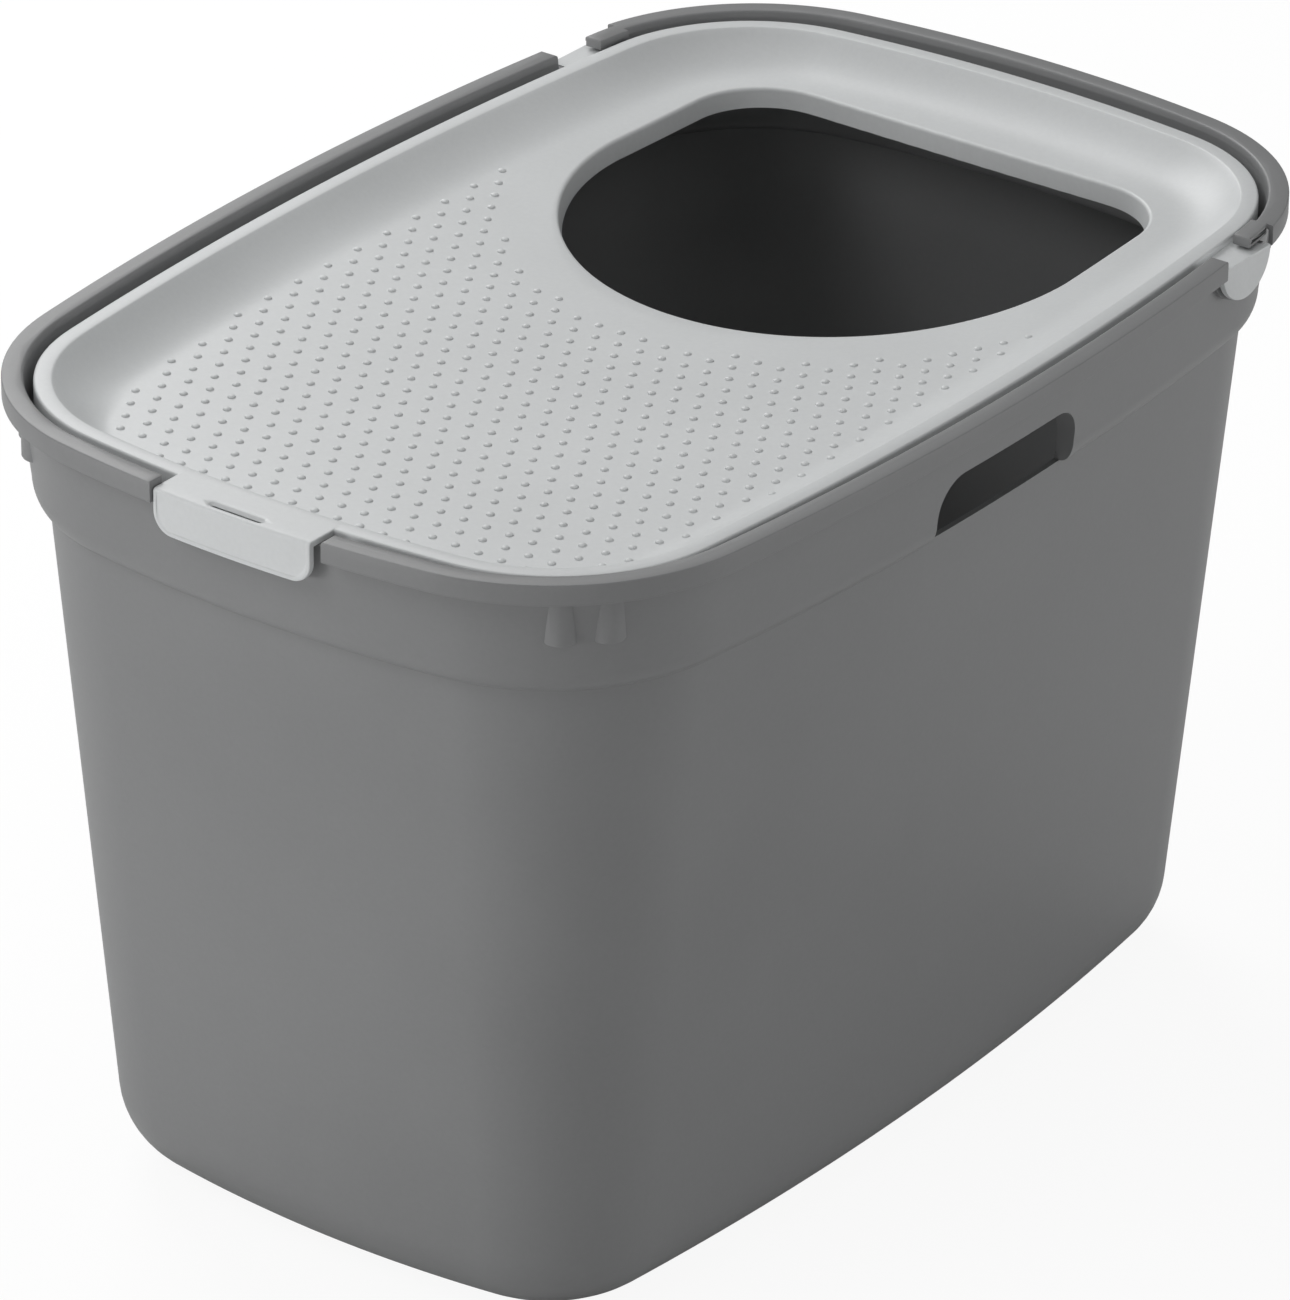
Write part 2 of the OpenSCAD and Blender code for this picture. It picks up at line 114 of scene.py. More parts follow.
def outline(o, inset=0.0):
    """Points round the outline, moved inwards, counter-clockwise from the +X side."""
    c = corner_centre(o)
    side_x, end_y = o["half_width"] - o["side_bow"], o["half_length"] - o["end_bow"]
    a = math.atan2(c[1], c[0] - side_x)
    b = math.atan2(c[1] - end_y, c[0])
    parts = ((side_x, 0.0, o["side_bow"], 0.0, a, SIDE_STEPS),
             (c[0], c[1], o["corner"], a, b, CORNER_STEPS),
             (0.0, end_y, o["end_bow"], b, math.pi / 2, END_STEPS))
    quarter = []
    for cx, cy, radius, start, stop, steps in parts:
        t = start + (stop - start) * np.arange(steps) / steps
        r = radius - inset
        quarter.append(np.c_[cx + r * np.cos(t), cy + r * np.sin(t)])
    q = np.vstack(quarter)
    top = np.array([[0.0, o["half_length"] - inset]])
    left = q[:0:-1] * (-1, 1)
    lower = -np.vstack([q, top])
    right = q[:0:-1] * (1, -1)
    return np.vstack([q, top, left, lower, right])


def side_x(o, inset, y):
    """How far out the long side lies at a given y."""
    return o["half_width"] - o["side_bow"] + math.sqrt((o["side_bow"] - inset) ** 2 - y * y)


def end_y(o, inset, x):
    """How far out the end lies at a given x."""
    return o["half_length"] - o["end_bow"] + np.sqrt((o["end_bow"] - inset) ** 2 - x * x)


print("points round the rim", len(outline(RIM)))

# %% [markdown]
# ## Small mesh tools
# Everything is drawn in millimetres and stored in metres. `skin` closes a stack of rings into a
# solid, `slab` pushes a flat shape along an axis, and `cut` and `join` are Boolean modifiers that
# are applied at once, so that the result is plain mesh.

# %% Mesh tools
def solid(name, points, faces):
    """A mesh object from points in millimetres."""
    mesh = bpy.data.meshes.new(name)
    mesh.from_pydata((np.asarray(points, float) * MM).tolist(), [], faces)
    mesh.validate()
    mesh.update()
    obj = bpy.data.objects.new(name, mesh)
    bpy.context.collection.objects.link(obj)
    return obj


def skin(name, rings, closed=False):
    """A solid through rings of equal length. A closed stack joins its last ring to its first."""
    n, count = len(rings[0]), len(rings)
    stack = count if closed else count - 1
    faces = []
    for i in range(stack):
        low, high = i * n, (i + 1) % count * n
        faces += [(low + j, low + (j + 1) % n, high + (j + 1) % n, high + j) for j in range(n)]
    if not closed:
        faces += [tuple(range(n))[::-1], tuple(range((count - 1) * n, count * n))]
    return solid(name, np.vstack(rings), faces)


def at_height(flat, z):
    """A flat ring lifted to one height, or to a height for each point."""
    return np.c_[flat, np.broadcast_to(z, len(flat))]


def loft(name, o, profile):
    """A solid whose level sections are the outline moved inwards, from (inset, height) pairs."""
    return skin(name, [at_height(outline(o, inset), z) for inset, z in profile])


def slab(name, flat, axis, start, stop):
    """A flat shape pushed from start to stop. Along X the shape is (y, z), along Y it is (x, z)."""
    flat = np.asarray(flat, float)
    order = {"X": (2, 0, 1), "Y": (0, 2, 1), "Z": (0, 1, 2)}[axis]
    rings = [np.c_[flat, np.full(len(flat), d)][:, order] for d in (start, stop)]
    obj = skin(name, rings)
    fix_normals(obj)
    return obj


def box(name, low, high):
    """A block between two corners."""
    (x0, y0, z0), (x1, y1, z1) = low, high
    return slab(name, [(x0, y0), (x1, y0), (x1, y1), (x0, y1)], "Z", z0, z1)


def fix_normals(obj):
    """Turns all faces outwards."""
    bm = bmesh.new()
    bm.from_mesh(obj.data)
    bmesh.ops.recalc_face_normals(bm, faces=bm.faces)
    bm.to_mesh(obj.data)
    bm.free()


def boolean(target, tools, operation):
    """Applies Boolean modifiers one after the other and removes the tools."""
    for tool in tools:
        m = target.modifiers.new("boolean", "BOOLEAN")
        m.object, m.operation, m.solver = tool, operation, "EXACT"
        shape = target.evaluated_get(bpy.context.evaluated_depsgraph_get())
        mesh = bpy.data.meshes.new_from_object(shape)
        target.modifiers.remove(m)
        old = target.data
        target.data = mesh
        bpy.data.meshes.remove(old)
        bpy.data.objects.remove(tool)
    return target


def cut(target, *tools):
    return boolean(target, tools, "DIFFERENCE")


def join(target, *tools):
    return boolean(target, tools, "UNION")


def keep(target, *tools):
    return boolean(target, tools, "INTERSECT")


def mirrored(make, *args):
    """Both the right-hand piece and its mirror image."""
    made = [make(*args), make(*args)]
    flip = made[1]
    flip.data.transform(Matrix.Diagonal((-1, 1, 1, 1)))
    flip.data.flip_normals()
    return made


def arc(cx, cy, r, start, stop, steps):
    """Points of an arc, with angles in degrees."""
    t = np.radians(np.linspace(start, stop, steps + 1))
    return np.c_[cx + r * np.cos(t), cy + r * np.sin(t)]


# %% [markdown]
# ## The tub's wall
# From the floor up, the wall has a generous foot radius, a straight body that leans out by almost
# five degrees, a rounded step, a collar, and a rim whose skirt hangs down outside the collar. Written
# as (inset, height) pairs this is one short list for the outside and one for the cavity. Edges that
# a mould rounds get three or four pairs, because only a real radius catches a thin highlight.

# %% Tub sizes
TOP = 375.0
WALL = 2.5
RIM_FACE = 9.2
SKIRT_DROP, SKIRT_WALL = 9.5, 2.2
PLATE = 2.2
COLLAR_DROP, COLLAR_SLOPE = 45.0, math.radians(6.5)
STEP_IN, STEP_DROP = 7.0, 11.0
BODY_SLOPE = math.radians(4.75)
FOOT = 38.0
CREASE_Z = TOP - COLLAR_DROP - STEP_DROP
COLLAR_TOP = RIM_FACE - WALL
COLLAR_LOW = COLLAR_TOP + (COLLAR_DROP - PLATE) * math.tan(COLLAR_SLOPE)
CREASE = COLLAR_LOW + STEP_IN
FOOT_INSET = CREASE + CREASE_Z * math.tan(BODY_SLOPE)


def foot_profile(inset, radius, lift, steps=14):
    """The rounding between the base and the leaning wall."""
    centre = inset - (lift + radius) * math.tan(BODY_SLOPE) + radius / math.cos(BODY_SLOPE)
    t = np.linspace(math.pi / 2, BODY_SLOPE, steps + 1)
    return [(centre - radius * math.cos(a), lift + radius - radius * math.sin(a)) for a in t]


def step_profile(inset, z, dx, dz, steps=10):
    """The rounded step, from its crease up to the collar."""
    t = np.linspace(math.pi / 2, 0, steps + 1)
    return [(inset + dx * (1 - math.cos(a)), z - dz * math.sin(a)) for a in t]


def rounded(points, radius, steps=3):
    """Rounds every inner corner of an open profile."""
    out = [points[0]]
    for before, here, after in zip(points, points[1:], points[2:]):
        p, a, b = np.array(here, float), np.array(before, float), np.array(after, float)
        u, v = (a - p) / np.linalg.norm(a - p), (b - p) / np.linalg.norm(b - p)
        angle = math.acos(np.clip(u @ v, -1, 1))
        reach = min(radius / math.tan(angle / 2), 0.45 * np.linalg.norm(a - p), 0.45 * np.linalg.norm(b - p))
        for t in np.linspace(0, 1, steps + 1):
            q = (1 - t) ** 2 * (p + u * reach) + 2 * t * (1 - t) * p + t * t * (p + v * reach)
            out.append(tuple(q))
    return out + [points[-1]]


outer_rim = rounded([(COLLAR_TOP, TOP - 25), (COLLAR_TOP, TOP - PLATE), (SKIRT_WALL, TOP - PLATE),
                     (SKIRT_WALL, TOP - SKIRT_DROP), (0, TOP - SKIRT_DROP), (0, TOP), (4.5, TOP)], 0.9)
outer_rim = [p for p in outer_rim if p[1] > TOP - 20]
OUTSIDE = (foot_profile(FOOT_INSET, FOOT, 0)
           + step_profile(COLLAR_LOW, TOP - COLLAR_DROP, STEP_IN, STEP_DROP)
           + outer_rim)
INSIDE = (foot_profile(FOOT_INSET + WALL / math.cos(BODY_SLOPE), FOOT - WALL, WALL)
          + step_profile(COLLAR_LOW + WALL, TOP - COLLAR_DROP, STEP_IN, STEP_DROP - WALL)
          + [(RIM_FACE, TOP - 1.2), (RIM_FACE - 0.15, TOP - 0.6), (RIM_FACE - 0.5, TOP - 0.2),
             (RIM_FACE - 1.1, TOP), (RIM_FACE - 1.1, TOP + 4)])
print("wall profile", len(OUTSIDE), "outside and", len(INSIDE), "inside pairs")

# %% [markdown]
# ## The tub's features
# Ribs under the rim stiffen the corners. Each long side has a finger opening with a wall turned in
# around it. The rim is cut away at the front for the lid's tab and at both sides for the lid's
# lugs, where a half-round ring carries the lug and a thick rim end keeps it down. Each is a small
# solid of its own, joined to the wall or cut from it, as the toolmaker adds and cuts steel.

# %% Tub features
PIVOT_Y, PIVOT_Z = 178.0, TOP - 6.5
JOURNAL, CLEARANCE, RING = 16.0, 0.08, 3.4
BORE = JOURNAL + CLEARANCE
FLANGE = 18.5
LUG_TOP = 0.4
KEEPER_Y, KEEPER_END = PIVOT_Y + 6, PIVOT_Y + 23.5
KEEPER_Z = PIVOT_Z + LUG_TOP + 1.5
KEEPER_INSET, KEEPER_REACH = 3.0, 2.5
NOTCH_FRONT = PIVOT_Y - FLANGE - 0.8
HANDLE_HALF, HANDLE_TOP, HANDLE_CORNER = 50.0, CREASE_Z + 30.0, 16.0
RIB_WIDTH, RIB_DROP, RIB_INSET = 13.0, 31.5, 6.5
RIB_PITCH, RIB_ANGLE = 21.0, math.radians(44)
NOTCH_LEFT, NOTCH_RIGHT = -43.3, 45.5
LIP_Z = TOP - 2.8
LID_WALL = 2.5
SEAT_Z = LIP_Z - LID_WALL - 0.4


def handle_shape(grow):
    """The finger opening seen from its side, as (y, z), grown by a margin."""
    half, top, r = HANDLE_HALF + grow, HANDLE_TOP + grow, HANDLE_CORNER + grow
    return np.vstack([[(-half, CREASE_Z), (half, CREASE_Z)],
                      arc(half - r, top - r, r, 0, 90, 14), arc(-half + r, top - r, r, 90, 180, 14)])


def half_disc(radius, top):
    """A disc about the pivot, cut flat at a height above the pivot, as (y, z)."""
    start = math.degrees(math.asin(top / radius))
    return arc(PIVOT_Y, PIVOT_Z, radius, 180 - start, 360 + start, 48)


def rib(angle):
    """An upright half-round rib with a softened lower end, grown out of the sloping collar."""
    c = corner_centre(RIM)
    low, high = TOP - RIB_DROP, TOP - PLATE / 2
    foot_inset = COLLAR_TOP + (RIB_DROP - PLATE) * math.tan(COLLAR_SLOPE)
    rise = foot_inset - RIB_INSET
    radius = (RIB_WIDTH ** 2 / 4 + rise ** 2) / (2 * rise)
    middle = RIM["corner"] - RIB_INSET - radius
    rings = [at_height(arc(middle, 0, radius - shrink, 0, 360, 64)[:-1], z)
             for z, shrink in ((low, 1.3), (low + 0.4, 0.5), (low + 1.3, 0.0), (high, 0.0))]
    obj = skin("rib", rings)
    turn = Matrix.Translation(Vector((c[0], c[1], 0)) * MM) @ Matrix.Rotation(angle, 4, "Z")
    obj.data.transform(turn)
    fix_normals(obj)
    return obj


def ribs():
    """A pair of ribs at each corner."""
    turn = math.asin(RIB_PITCH / 2 / (RIM["corner"] - RIB_INSET))
    made = []
    for angle in (RIB_ANGLE - turn, RIB_ANGLE + turn):
        for sx, sy in ((1, 1), (-1, 1), (1, -1), (-1, -1)):
            piece = rib(angle)
            piece.data.transform(Matrix.Diagonal((sx, sy, 1, 1)))
            fix_normals(piece)
            made.append(piece)
    return made


def bearing_ring():
    """The half-round ring under the rim in which a lug turns."""
    ring = half_disc(BORE + RING, 0.0)
    return slab("ring", ring, "X", side_x(RIM, COLLAR_LOW + 1, PIVOT_Y + 19), side_x(RIM, 5.2, PIVOT_Y))


def rim_band(inset0, inset1, z0, z1):
    """A closed band that follows the rim."""
    rings = [at_height(outline(RIM, m), z) for m, z in ((inset0, z0), (inset0, z1), (inset1, z1), (inset1, z0))]
    band = skin("band", rings, closed=True)
    fix_normals(band)
    return band


def keeper():
    """The thick rim end behind the lug. It starts a little early, and the notch trims it."""
    side, inner, upper = KEEPER_INSET + 0.4, RIM_FACE + KEEPER_REACH, TOP - 0.02
    soft = [(side, KEEPER_Z), (inner - 0.4, KEEPER_Z), (inner, KEEPER_Z + 0.4), (inner, TOP - 1.0),
            (inner - 0.3, TOP - 0.3), (inner - 1.0, upper), (side, upper)]
    band = skin("band", [at_height(outline(RIM, m), z) for m, z in soft], closed=True)
    fix_normals(band)
    return keep(band, box("clip", (150, KEEPER_Y - 3, KEEPER_Z - 1), (200, KEEPER_END, TOP + 1)))


def keeper_side():
    """What sets the side of that rim end back and rounds its upper edge."""
    side, low = KEEPER_INSET, TOP - SKIRT_DROP - 1
    cut_back = [(-1, low), (-1, TOP + 1), (side + 0.9, TOP + 1), (side + 0.9, TOP), (side + 0.4, TOP - 0.15),
                (side + 0.1, TOP - 0.5), (side, TOP - 1), (side, low)]
    band = skin("band", [at_height(outline(RIM, m), z) for m, z in cut_back], closed=True)
    fix_normals(band)
    return keep(band, box("clip", (150, KEEPER_Y - 2, TOP - SKIRT_DROP - 3), (200, KEEPER_END, TOP + 3)))


def end_wall(low, high):
    """What closes the hollow rim where a notch ends it."""
    band = rim_band(SKIRT_WALL / 2, COLLAR_TOP + WALL / 2, TOP - SKIRT_DROP + 0.3, TOP - PLATE / 2)
    return keep(band, box("clip", low, high))


def notch_shape(start, stop, low):
    """A gap in the rim seen from its side, with its two upper edges rounded over."""
    over = [(0.0, -0.9), (0.12, -0.45), (0.45, -0.12), (0.9, 0.0), (1.9, 1.0)]
    right = [(stop + out, TOP + up) for out, up in over]
    left = [(start - out, TOP + up) for out, up in reversed(over)]
    return [(start, low), (stop, low)] + right + left


def corner_bite(x, side):
    """What rounds the inner corner of a rim end, seen from above."""
    y, r = -end_y(RIM, RIM_FACE, x), 2.0
    turn = arc(r, -r, r, 180, 90, 8)
    flat = np.vstack([[(-0.6, 0.6), (-0.6, -r)], turn, [(r, 0.6)]])
    return slab("bite", flat * (side, 1) + (x, y), "Z", TOP - 7, TOP + 1)


def make_tub():
    """The wall first, then what is added to it, and last what is cut away."""
    tub = loft("tub_shell", RIM, OUTSIDE)
    fix_normals(tub)
    cavity = loft("cavity", RIM, INSIDE)
    fix_normals(cavity)
    inner_x = RIM["half_width"] - CREASE - WALL
    cut(cavity, *mirrored(lambda: slab("frame", handle_shape(2.4), "X", inner_x, RIM["half_width"])))
    join(tub, *ribs(), *mirrored(bearing_ring))
    cut(tub, cavity)
    walls = mirrored(lambda: end_wall((150, NOTCH_FRONT - 2, 0), (200, NOTCH_FRONT + 1, TOP)))
    walls += [end_wall((NOTCH_RIGHT - 1, -291, 0), (NOTCH_RIGHT + 2, -200, TOP)),
              end_wall((NOTCH_LEFT - 2, -291, 0), (NOTCH_LEFT + 1, -200, TOP))]
    join(tub, *mirrored(keeper), *walls)
    cut(tub, *mirrored(lambda: slab("opening", handle_shape(0), "X", inner_x - 8, RIM["half_width"])))
    under = KEEPER_Z - 0.03
    bore_top = math.degrees(math.asin((under - PIVOT_Z) / BORE))
    bore = arc(PIVOT_Y, PIVOT_Z, BORE, 180 - bore_top, 360 + bore_top, 48)
    ring_x = side_x(RIM, 5.2, PIVOT_Y)
    cut(tub, *mirrored(lambda: slab("bore", bore, "X", 160, 196)))
    cut(tub, *mirrored(lambda: slab("gap", notch_shape(NOTCH_FRONT, KEEPER_Y, PIVOT_Z), "X", 160, 196)))
    skirt_low = TOP - SKIRT_DROP - 1
    skirt_gap = [(NOTCH_FRONT, skirt_low), (KEEPER_END, skirt_low), (KEEPER_END, under), (NOTCH_FRONT, under)]
    cut(tub, *mirrored(lambda: slab("skirt_gap", skirt_gap, "X", ring_x, 196)))
    slot_z = (KEEPER_Z + TOP) / 2
    slot_x = side_x(RIM, KEEPER_INSET, KEEPER_Y)
    cut(tub, *mirrored(keeper_side))
    for low, high, deep in ((-1.2, 1.2, 1.6), (0.25, 1.2, 4), (-1.2, -0.25, 4)):
        start, stop = (slot_x - deep, KEEPER_Y + 2, slot_z + low), (slot_x + 2, KEEPER_END - 1, slot_z + high)
        cut(tub, *mirrored(lambda: box("slot", start, stop)))
    cut(tub, slab("front", notch_shape(NOTCH_LEFT, NOTCH_RIGHT, SEAT_Z), "Y", -292, -276),
        box("front_skirt", (NOTCH_LEFT, -292, skirt_low), (NOTCH_RIGHT, -290 + COLLAR_TOP - 0.5, TOP)),
        corner_bite(NOTCH_RIGHT, 1), corner_bite(NOTCH_LEFT, -1))
    return tub


tub = make_tub()
print("tub", len(tub.data.vertices), "points")

# %% [markdown]
# ## The lid
# The lid's flat lip drops through a curved band to a shallow bowl, deepest where litter should fall
# back in at the hole. Rays from the middle of the hole's round part meet every ring once, so rings
# of the lip, the bowl and the hole share the same angles and the whole skin is one closed grid of
# quads. A Boolean hole would leave long thin faces that spoil the soft shading of the bowl.

# %% Lid sizes
HOLE_CENTRE = np.array([0.0, 128.9])
HOLE_RADIUS, HOLE_REAR, HOLE_CORNER, HOLE_TAPER = 121.6, 224.0, 38.0, 2.7
LIP_WIDTH, LID_EDGE = 7.8, 10.0
BAND_START, BAND_FRONT = 37.0, 26.0
BOWL_MIDDLE, BOWL_REAR = 353.6, 358.3
BOWL_FALL, BOWL_BEND, BOWL_SIDES, BOWL_SIDES_BACK = 1.235, 0.122, 2.765, 1.145
HOLE_LOW, COLLAR_FOOT, COLLAR_DRAFT = 9.0, 3.0, math.radians(9)
RAYS = 640


def hole_outline(inset):
    """The D-shaped hole: half a circle in front, and two round corners at the rear."""
    r, rc = HOLE_RADIUS - inset, HOLE_CORNER - inset
    cx, cy = HOLE_RADIUS - HOLE_TAPER - HOLE_CORNER, HOLE_REAR - HOLE_CORNER
    front = arc(0, HOLE_CENTRE[1], r, 180, 360, 180)
    return np.vstack([front, arc(cx, cy, rc, 0, 90, 40), arc(-cx, cy, rc, 90, 180, 40)])


def by_angle(points):
    """The points where rays from the hole's centre meet a closed outline."""
    p = np.vstack([points, points[:1]]) - HOLE_CENTRE
    fine = np.vstack([p[:-1] + (p[1:] - p[:-1]) * f for f in np.linspace(0, 1, 12, endpoint=False)])
    angle = np.arctan2(fine[:, 1], fine[:, 0])
    order = np.argsort(angle)
    angle, reach = angle[order], np.hypot(*fine[order].T)
    t = -math.pi + 2 * math.pi * np.arange(RAYS) / RAYS
    r = np.interp(t, angle, reach, period=2 * math.pi)
    return HOLE_CENTRE + np.c_[r * np.cos(t), r * np.sin(t)]


def ease(value, start, stop):
    """0 before start, 1 after stop and a smooth ramp between them."""
    t = np.clip((value - start) / (stop - start), 0, 1)
    return t * t * (3 - 2 * t)


def bowl(x, y):
    """Height of the bowl. It falls slowly towards the hole and rises to both sides and the rear."""
    u, v = x / 100, np.clip(y, -300, 130) / 100
    along = BOWL_MIDDLE - BOWL_FALL * v
    front = along + BOWL_SIDES * u ** 2 + BOWL_SIDES_BACK * u ** 2 * v - BOWL_BEND * v ** 2
    rear = BOWL_REAR + 0.3 * u ** 2
    return front + (rear - front) * ease(y, 118, 222)


def band_place(s):
    """A ring across the sloping band, from its foot at 0 to the lip at 1. The band is steeper in front."""
    stop = LIP_WIDTH + 0.4
    wide, narrow = [by_angle(outline(LID, start + (stop - start) * s)) for start in (BAND_START, BAND_FRONT)]
    front = ease(-by_angle(outline(LID, BAND_START))[:, 1], 205, 234)[:, None]
    return wide * (1 - front) + narrow * front


def band_ring(s, rise):
    """The same ring lifted by a share of the way from the bowl to the lip."""
    flat = band_place(s)
    low = bowl(*flat.T)
    return at_height(flat, low + (LIP_Z - low) * rise)


def make_lid_skin():
    """All rings of the lid, from the lower end of the hole's collar round to its start again."""
    edge = by_angle(hole_outline(0))
    roll = [(0.0, 1.6), (-0.25, 0.8), (-0.8, 0.25), (-1.6, 0.0)]
    start = by_angle(hole_outline(-1.6))
    foot = band_place(0)
    slope = math.tan(COLLAR_DRAFT)
    rings = [at_height(by_angle(hole_outline(HOLE_LOW * slope)), bowl(*edge.T) - HOLE_LOW)]
    for inset, drop in roll:
        flat = by_angle(hole_outline(inset))
        rings.append(at_height(flat, bowl(*start.T) - drop))
    for f in np.linspace(0, 1, 30)[1:]:
        flat = start * (1 - f) + foot * f
        rings.append(at_height(flat, bowl(*flat.T)))
    for s in np.linspace(0, 1, 17)[1:]:
        rings.append(band_ring(s, 0.97 * s ** 2.3))
    lip = [(LIP_WIDTH, -0.12), (LIP_WIDTH - 0.6, 0), (1.2, 0), (0.6, -0.15), (0.15, -0.6), (0, -1.2),
           (0, -LID_EDGE), (WALL, -LID_EDGE), (WALL, -WALL), (LIP_WIDTH - 0.5, -WALL)]
    rings += [at_height(by_angle(outline(LID, m)), LIP_Z + z) for m, z in lip]
    for s in np.linspace(1, 0, 9)[1:]:
        ring = band_ring(s, s ** 2.3)
        ring[:, 2] -= WALL
        rings.append(ring)
    for f in np.linspace(1, 0, 6)[1:]:
        flat = by_angle(hole_outline(-COLLAR_FOOT)) * (1 - f) + foot * f
        rings.append(at_height(flat, bowl(*flat.T) - WALL))
    rings.append(at_height(by_angle(hole_outline(HOLE_LOW * slope - WALL)), bowl(*edge.T) - HOLE_LOW))
    lid = skin("lid_shell", rings, closed=True)
    fix_normals(lid)
    return lid


# %% [markdown]
# ## Tab and lugs
# The tab is a plate level with the lip that folds down over the rim's notch. Its face has a thin
# raised border, and its plate a bevelled slot. Each lug is a half-round journal under a flat top,
# closed by a half-disc flange that lies flush with the rim's skirt.

# %% Tab and lugs
TAB_LEFT, TAB_WIDTH, TAB_INSET = -42.9, 82.0, 1.4
TAB_DROP, TAB_CORNER, TAB_WALL = 19.5, 9.5, 2.5
BORDER, RECESS, FOLD = 1.7, 0.45, 1.6
SLOT_X, SLOT_Y = -1.7, -283.5


def tab_depth(u, v, up):
    """How far the tab's skin lies behind its frontmost surface, for distances from its edges."""
    in_corner = (u < TAB_CORNER) & (v < TAB_CORNER)
    edge = np.where(in_corner, TAB_CORNER - np.hypot(TAB_CORNER - u, TAB_CORNER - v), np.minimum(u, v))
    recess = RECESS * ease(edge, BORDER, BORDER + 0.5) * (1 - ease(up, TAB_DROP - FOLD - 1, TAB_DROP))
    soft = np.clip(0.6 - edge, 0, 0.6)
    return recess + 0.6 - np.sqrt(0.36 - soft ** 2)


def tab_grid(across, outer):
    """A grid of points over the face, round the fold and along the plate."""
    u = np.minimum(across, TAB_WIDTH - across)
    x = TAB_LEFT + across
    near = np.minimum(u, TAB_CORNER)
    lift = np.where(u < TAB_CORNER, TAB_CORNER - np.sqrt(TAB_CORNER ** 2 - (TAB_CORNER - near) ** 2), 0)
    face = -end_y(RIM, TAB_INSET, x)
    straight = [0, 0.12, 0.3, 0.6, 1, 1.4, 1.7, 1.95, 2.2, 2.8, 3.8, 5, 6.5, 8.5, 11, 13.5, 16.4]
    rows = []
    for t in straight:
        v = t + lift * (1 - t / 16.4)
        up = v + (TAB_DROP - FOLD - 16.4) * ease(t, 9, 16.4) * outer
        behind = tab_depth(u, v, up) if outer else np.full(len(x), TAB_WALL)
        rows.append(np.c_[x, face + behind, LIP_Z - TAB_DROP + up])
    for k, turn in enumerate(np.radians([15, 30, 45, 60, 75, 90])):
        d = tab_depth(u, np.full(len(x), 30.0), np.full(len(x), TAB_DROP - FOLD + FOLD * math.sin(turn)))
        if outer:
            y = face + FOLD - (FOLD - d) * math.cos(turn)
            z = LIP_Z + 0.01 - FOLD + (FOLD - d) * math.sin(turn)
        else:
            y = face + TAB_WALL + 0.15 * max(k - 2, 0)
            z = LIP_Z - TAB_WALL - 0.15 * max(3 - k, 0) * np.ones(len(x))
        rows.append(np.c_[x, y, z])
    for f in (0.15, 0.35, 0.6, 0.8, 1.0):
        y = (face + FOLD + 1.6) * (1 - f) - 268.0 * f
        d = tab_depth(u, np.full(len(x), 30.0), np.full(len(x), 30.0)) if outer else np.full(len(x), TAB_WALL)
        rows.append(np.c_[x, y, LIP_Z + 0.01 - d])
    return np.array(rows)


def make_tab():
    """The tab, and the tool that cuts its slot. The half list sets how close its columns stand."""
    half = [0, 0.12, 0.3, 0.6, 1, 1.4, 1.7, 1.95, 2.2, 2.7, 3.4, 4.2, 5.2, 6.3, 7.6, 9, 10.5, 13, 17, 22, 28, 34]
    across = np.array(half + [TAB_WIDTH / 2] + [TAB_WIDTH - h for h in half[::-1]])
    front, back = tab_grid(across, 1), tab_grid(across, 0)
    rows, n = front.shape[:2]
    count = rows * n
    faces = []
    for i in range(rows - 1):
        for j in range(n - 1):
            a = i * n + j
            quad = (a, a + 1, a + n + 1, a + n)
            faces += [quad, tuple(count + k for k in quad[::-1])]
    rim = ([j for j in range(n)] + [i * n + n - 1 for i in range(1, rows)]
           + [(rows - 1) * n + j for j in range(n - 2, -1, -1)] + [i * n for i in range(rows - 2, 0, -1)])
    for a, b in zip(rim, rim[1:] + rim[:1]):
        faces.append((b, a, count + a, count + b))
    tab = solid("tab", np.vstack([front.reshape(-1, 3), back.reshape(-1, 3)]), faces)
    fix_normals(tab)
    slot = []
    bevel = [(1.9, -4), (1.9, -1.5), (0.15, -1.45), (0.15, -1.2), (1.3, -0.25), (1.75, 0.02), (1.9, 1)]
    for grow, up in bevel:
        shape = np.vstack([arc(12.5, 0, 0.5 + grow, -90, 90, 12), arc(-12.5, 0, 0.5 + grow, 90, 270, 12)])
        slot.append(at_height(shape + (SLOT_X, SLOT_Y), LIP_Z + up))
    hollow = skin("slot_tool", slot)
    fix_normals(hollow)
    return tab, hollow


def journal():
    """The hollow half-round pin of a lug."""
    shape = half_disc(JOURNAL, LUG_TOP)
    inner = half_disc(JOURNAL - LID_WALL, LUG_TOP - LID_WALL + 0.01)
    start, stop = side_x(LID, 2.0, PIVOT_Y + JOURNAL), side_x(RIM, 0.8, PIVOT_Y) - 1.0
    return cut(slab("journal", shape, "X", start, stop), slab("hollow", inner, "X", start - 1, stop - 1.2))


def flange():
    """The half disc that shows beside the rim, with a softened outer edge."""
    x = side_x(RIM, 0.8, PIVOT_Y)
    rings = []
    for back, shrink in ((2.6, 0.0), (0.5, 0.0), (0.15, 0.15), (0.0, 0.5)):
        flat = half_disc(FLANGE - shrink, LUG_TOP - shrink)
        rings.append(np.c_[np.full(len(flat), x - back), flat])
    obj = skin("flange", rings)
    fix_normals(obj)
    return obj


def make_lid():
    """The skin with its tab and both lugs, as one moulding."""
    lid = make_lid_skin()
    tab, slot_tool = make_tab()
    join(lid, tab, *mirrored(journal), *mirrored(flange))
    cut(lid, slot_tool)
    return lid


lid = make_lid()
print("lid", len(lid.data.vertices), "points")

